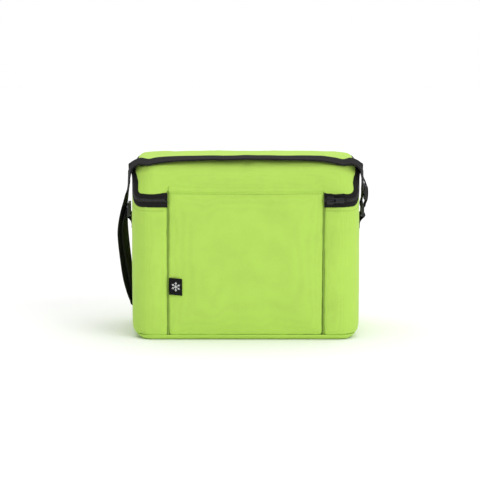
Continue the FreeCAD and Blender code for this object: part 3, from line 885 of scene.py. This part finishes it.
def web(name, stations, width=WEB, thickness=WEB_THICK):
    """Flat woven webbing through stations; its UVs are its own width and length in metres."""
    line = curve_through(stations, 1.6 * MM)
    profile = EDGE_ROUND + [(u, -t) for u, t in EDGE_ROUND[-2:0:-1]]
    sections, texture = [], []
    travelled = 0.0
    for i, (centre, across) in enumerate(line):
        along = (line[min(i + 1, len(line) - 1)][0] - line[max(i - 1, 0)][0]).normalized()
        side = (across - along * across.dot(along)).normalized()
        up = along.cross(side)
        travelled += (centre - line[i - 1][0]).length if i else 0.0
        ripple = 0.12 * MM * noise.noise(Vector((travelled * 45, len(name), 0)))
        section = []
        for u, t in profile:
            lift = t * thickness / 2 + ripple
            section.append(centre + side * (u * width / 2) + up * lift)
            texture.append((u * width / 2, travelled))
        sections.append(section)
    piece = sweep(name, sections)
    layer = piece.data.uv_layers.new(name="own_size")
    for loop in piece.data.loops:
        layer.data[loop.index].uv = texture[loop.vertex_index]
    return piece


def station(x, y, z, across):
    return Vector((x, y, z)) * MM, Vector(across)


STRAP_Y = -70.0


def rest_height(x, y, tilt):
    """The lowest height at which webbing tilted about X lies clear on the lid cushion."""
    height = 0.0
    for s in range(-12, 13, 3):
        hit, place, _, _ = lid_cushion.ray_cast(Vector((x, y + s, 300)) * MM, Vector((0, 0, -1)))
        if hit:
            height = max(height, place.z / MM - s * tilt)
    return height + 1.3


def lid_run():
    """The webbing's stations over the lid, from left to right."""
    stations = []
    for k in range(-8, 9):
        x = 13.2 * k
        tilt = 0.09 + 0.1 * (abs(k) / 8) ** 3
        y = STRAP_Y - 1.6 * (abs(k) / 8) ** 2
        stations.append(station(x, y, rest_height(x, y, tilt), (0, 1, tilt)))
    return stations


def over_edge(sign):
    """From the lid's top edge down beside the bag, to above the ring."""
    return [
        station(sign * 115.5, -72.5, rest_height(sign * 115.5, -72.5, 0.2), (0, 1, 0.2)),
        station(sign * 125.0, -72.6, 211.6, (0, 1, 0.22)),
        station(sign * 133.4, -71.6, 207.2, (sign * 0.04, 1, 0.26)),
        station(sign * 137.3, -67.5, 199.8, (sign * 0.12, 0.95, 0.35)),
        station(sign * 138.6, -57.0, 193.0, (sign * 0.04, 0.88, 0.52)),
        station(sign * 139.6, -41.0, 188.6, (0, 0.72, 0.78)),
        station(sign * 141.4, -24.0, 184.8, (0, 0.62, 0.9)),
        station(sign * 142.2, -10.0, 180.0, (0, 0.75, 0.7)),
    ]


left_top = [station(-143.2, -4.5, 173.5, (0.05, 0.95, 0.3)), station(-144.6, -2.5, 166, (0.1, 1, 0.1))]
right_top = [station(141.9, -3, 172.5, (0, 1, 0.25)), station(141.7, -1, 167, (0, 1, 0.05))]
whole = left_top[::-1] + over_edge(-1)[::-1] + lid_run() + over_edge(1) + right_top
shoulder = web("shoulder_webbing", whole)
finish_piece(shoulder, None, "black_webbing", webbing, "shoulder_strap")
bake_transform(shoulder)

TWIST = (0.27, 0.96, 0)
slack = [
    station(-144.3, -3.0, 167.5, (0.08, 1, 0.13)),
    station(-146.3, -2, 157, (0.14, 1, 0)),
    station(-148.9, -1, 145, (0.2, 0.98, 0)),
    station(-151.0, 0, 130, TWIST),
    station(-151.9, 0, 116, TWIST),
    station(-149.9, 2, 92, TWIST),
    station(-146.4, 6, 64, (0.25, 0.97, 0)),
    station(-142.6, 10, 46, (0.2, 0.98, 0)),
    station(-140.2, 12, 36, (0.12, 1, 0)),
    station(-138.9, 12, 29, (0.06, 1, 0)),
    station(-137.5, 12, 35, (0.05, 1, 0)),
    station(-138.6, 10, 50, (0.08, 1, 0)),
    station(-141.4, 6, 70, (0.15, 1, 0)),
    station(-144.4, 4, 92, (0.22, 0.97, 0)),
    station(-146.8, 2, 112, (0.25, 0.97, 0)),
    station(-147.4, 1, 128, (0.2, 0.98, 0)),
    station(-146.2, 0, 139, (0.08, 1, 0)),
    station(-144.9, 0, 147, (0, 1, 0)),
    station(-143.2, 0, 149.5, (0, 1, 0)),
]
loop_web = web("slack_webbing", slack)
finish_piece(loop_web, "bag", "black_webbing", webbing, "strap_slack")

end = [
    station(141.75, -1.4, 169, (0, 1, 0.08)),
    station(141.2, 0, 160, (0, 1, 0)),
    station(139.8, 0, 155.2, (0, 1, 0)),
    station(140.0, 0, 150.8, (0, 1, 0)),
    station(142.2, 0, 149.6, (0, 1, 0)),
    station(144.6, 0, 151.4, (0, 1, 0)),
    station(145.3, 0, 155.0, (0, 1, 0)),
    station(147.3, 0, 160.0, (0, 1, 0)),
    station(148.0, 0, 168.5, (0, 1, 0)),
    station(147.2, -0.5, 176.5, (0, 1, 0.05)),
    station(144.6, -2.5, 181.0, (0, 1, 0.3)),
]
end_web = web("ring_webbing_right", end, thickness=1.2 * MM)
finish_piece(end_web, None, "black_webbing", webbing, "strap_end")
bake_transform(end_web)


def ring_tab(side, sign):
    """The short webbing that holds a ring's lower bar: sewn to the side, round the bar and back."""
    path = [(136.2, 124.5), (136.25, 131), (137.0, 136.5), (139.3, 140.4)]
    for degrees in (170, 125, 80, 35, -10, -50):
        a = math.radians(degrees)
        path.append((142 + 2.75 * math.cos(a), 141 + 2.75 * math.sin(a)))
    path += [(141.0, 136.6), (138.6, 133.2), (137.85, 129), (137.8, 124.8)]
    stations = [station(sign * x, 0, z, (0, 1, 0)) for x, z in path]
    piece = web(f"tab_webbing_{side}", stations, width=WEB * 0.99, thickness=1.5 * MM)
    finish_piece(piece, "bag", "black_webbing", webbing, f"ring_tab_{side}")
    rows = []
    x = sign * 138.75 * MM
    for y, z, along in (
        [(k * 3.1, 126.0, "Y") for k in range(-3, 4)]
        + [(k * 3.1, 131.0, "Y") for k in range(-3, 4)]
        + [(k * 2.3, 128.5 + k * 0.6, "D") for k in range(-3, 4)]
        + [(k * 2.3, 128.5 - k * 0.6, "E") for k in range(-3, 4)]
    ):
        way = {"Y": Vector((0, 1, 0)), "D": Vector((0, 0.97, 0.25)), "E": Vector((0, 0.97, -0.25))}[along]
        rows.append((Vector((x, y * MM, z * MM)), way, way.cross(Vector((1, 0, 0)))))
    stitches(f"tab_stitches_{side}", rows, "bag", black_thread, "black_webbing")


ring_tab("left", -1)
ring_tab("right", 1)

# ---------------------------------------------------------------- label


def label():
    """A small folded tab in the front panel's left seam, with a plain frost mark."""
    low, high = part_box("side_label")
    width, height = high.x - low.x, high.z - low.z
    skew = -1.6 * MM
    columns, rows = 20, 24

    def face(u, v, out):
        x = low.x + 0.6 * MM + u * width
        z = low.z + v * height + skew * u + 0.3 * MM * math.sin(3 * u)
        rise = 0.9 * MM * math.sin(math.pi * min(u * 1.1, 1)) + 0.5 * MM * u
        return Vector((x, high.y + 0.1 * MM - rise - out, z))

    sections = []
    for k in range(columns + 1):
        u = k / columns
        front = [face(u, j / rows, 0.75 * MM) for j in range(rows + 1)]
        back = [face(u, j / rows, 0.0) for j in range(rows, -1, -1)]
        sections.append(front + back)
    piece = sweep("seam_label", sections)
    finish_piece(piece, "bag", "woven_label", label_cloth, "side_label")
    places = []
    middle = (0.52, 0.5)
    for turn in range(3):
        a = math.radians(90 + 60 * turn)
        for k in range(-4, 5):
            share = k / 4 * 0.24
            cu = middle[0] + share * math.cos(a) * height / width
            centre = face(cu, middle[1] + share * math.sin(a), 0.85 * MM)
            way = Vector((math.cos(a), 0, math.sin(a)))
            places.append((centre, way, way.cross(Vector((0, 1, 0)))))
        for end in (-1, 1):
            for fork in (-1, 1):
                share = 0.15 * end
                b = a + fork * math.radians(45)
                cu = middle[0] + (share * math.cos(a) + 0.05 * end * math.cos(b)) * height / width
                cv = middle[1] + share * math.sin(a) + 0.05 * end * math.sin(b)
                way = Vector((math.cos(b), 0, math.sin(b)))
                places.append((face(cu, cv, 0.85 * MM), way, way.cross(Vector((0, 1, 0)))))
    mark = beads("frost_mark", places, (0.85 * MM, 0.34 * MM, 0.16 * MM))
    finish_piece(mark, "bag", "woven_label", mark_thread)


label()

# ---------------------------------------------------------------- rows of stitches


def row(points, pitch, out_way, name, body, material, slot="lime_polyester"):
    places = []
    for point, along in spaced(points, pitch, pitch / 2):
        out = out_way(point)
        places.append((point, along, along.cross(out).normalized()))
    return stitches(name, places, body, material, slot)


def on_surface(piece, start, way):
    """The point where a ray meets a piece, lifted a thread's thickness."""
    hit, place, normal, _ = piece.ray_cast(start, way)
    return place - way * 0.12 * MM if hit else None


front_cushion = bpy.data.objects["front_cushion"]
hinge_row = []
for k in range(0, 61):
    x = (2 * k / 60 - 1) * (PANEL_X - 3 * MM)
    z = PANEL_TOP - 3.4 * MM - 0.8 * MM * (1 - (x / PANEL_X) ** 2)
    found = on_surface(front_cushion, Vector((x, -0.2, z)), Vector((0, 1, 0)))
    if found:
        hinge_row.append(found)
row(hinge_row, 3.2 * MM, lambda p: Vector((0, -1, 0)), "hinge_stitches", "bag", lime_thread)

for side, sign in (("left", -1), ("right", 1)):
    cushion = bpy.data.objects[f"gusset_cushion_{side}"]
    below = [p for p in rail(-TAPE - 5.5 * MM, 0) if p.x * sign > PANEL_X and p.y < 0.02]
    found = []
    for p in below:
        level = Vector((p.x - sign * (HALF_X - CORNER), p.y + HALF_Y - CORNER, 0))
        way = Vector((-sign, 0, 0)) if p.y > CORNER - HALF_Y else -level.normalized()
        spot = on_surface(cushion, p - way * 0.05, way)
        if spot:
            found.append(spot)
    row(found, 3.2 * MM, lambda p: Vector((p.x, p.y, 0)), f"topstitch_{side}", "bag", lime_thread)

# ---------------------------------------------------------------- camera, floor and light

scene = bpy.context.scene
scene.view_settings.view_transform = "Standard"

VIEW_DISTANCE = 2.5
VIEW_UP = math.radians(7.0)
AIM = Vector((-6.9 * MM, 0, 0.109))
camera = bpy.data.objects.new("camera", bpy.data.cameras.new("camera"))
scene.collection.objects.link(camera)
camera.location = AIM + VIEW_DISTANCE * Vector((0, -math.cos(VIEW_UP), math.sin(VIEW_UP)))
camera.rotation_euler = (math.pi / 2 - VIEW_UP, 0, 0)
camera.data.lens = 153.5
scene.camera = camera

floor = new_mesh("floor", [(-6, -6, 0), (6, -6, 0), (6, 6, 0), (-6, 6, 0)], [(0, 1, 2, 3)])
white = Nodes("floor_white")
white.set(Base_Color=(0.97, 0.97, 0.97, 1), Roughness=0.9)
floor.data.materials.append(white.material)


def soft_sun(name, towards, strength, spread_degrees):
    """A wide, even studio light from one side; towards points from the bag to the light."""
    lamp = bpy.data.objects.new(name, bpy.data.lights.new(name, "SUN"))
    lamp.data.energy = strength
    lamp.data.angle = math.radians(spread_degrees)
    lamp.rotation_euler = Vector(towards).to_track_quat("Z", "Y").to_euler()
    scene.collection.objects.link(lamp)


soft_sun("overhead_light", (0.05, 0.1, 1), 1.75, 70)
soft_sun("key_light", (0.75, -0.75, 0.6), 0.85, 40)
world = bpy.data.worlds.new("studio")
world.use_nodes = True
tree = world.node_tree
LIGHT_FROM_AROUND = 0.46
seen = tree.nodes.new("ShaderNodeBackground")
seen.inputs["Color"].default_value = (1, 1, 1, 1)
seen.inputs["Strength"].default_value = 1.0
lit = tree.nodes["Background"]
lit.inputs["Color"].default_value = (1, 1, 1, 1)
lit.inputs["Strength"].default_value = LIGHT_FROM_AROUND
mix = tree.nodes.new("ShaderNodeMixShader")
tree.links.new(tree.nodes.new("ShaderNodeLightPath").outputs["Is Camera Ray"], mix.inputs[0])
tree.links.new(lit.outputs[0], mix.inputs[1])
tree.links.new(seen.outputs[0], mix.inputs[2])
tree.links.new(mix.outputs[0], tree.nodes["World Output"].inputs["Surface"])
scene.world = world

# ---------------------------------------------------------------- hardware


def rounded(node, body, slot, material, width):
    """A CAD piece with its sharp edges softened."""
    piece = cad_copy(f"{node}_finished", [node])
    weld = bmesh.new()
    weld.from_mesh(piece.data)
    bmesh.ops.remove_doubles(weld, verts=weld.verts, dist=1e-6)
    bmesh.ops.dissolve_limit(weld, angle_limit=math.radians(2), verts=weld.verts, edges=weld.edges)
    weld.to_mesh(piece.data)
    weld.free()
    bevel = piece.modifiers.new("Bevel", "BEVEL")
    bevel.width = width
    bevel.segments = 3
    bevel.limit_method = "ANGLE"
    bevel.angle_limit = math.radians(40)
    apply_modifiers(piece)
    shade_smooth(piece)
    piece.data.set_sharp_from_angle(angle=math.radians(42))
    finish_piece(piece, body, slot, material, node)


rounded("zip_slider", "zip_slider", "black_metal", paint, 0.35 * MM)
rounded("zip_pull", "zip_pull", "black_metal", paint, 0.25 * MM)
for side in ("left", "right"):
    rounded(f"zip_stop_{side}", "bag", "black_metal", paint, 0.2 * MM)
    rounded(f"strap_ring_{side}", f"strap_ring_{side}", "black_plastic", plastic, 0.6 * MM)
rounded("strap_adjuster", "strap_adjuster", "black_plastic", plastic, 0.7 * MM)
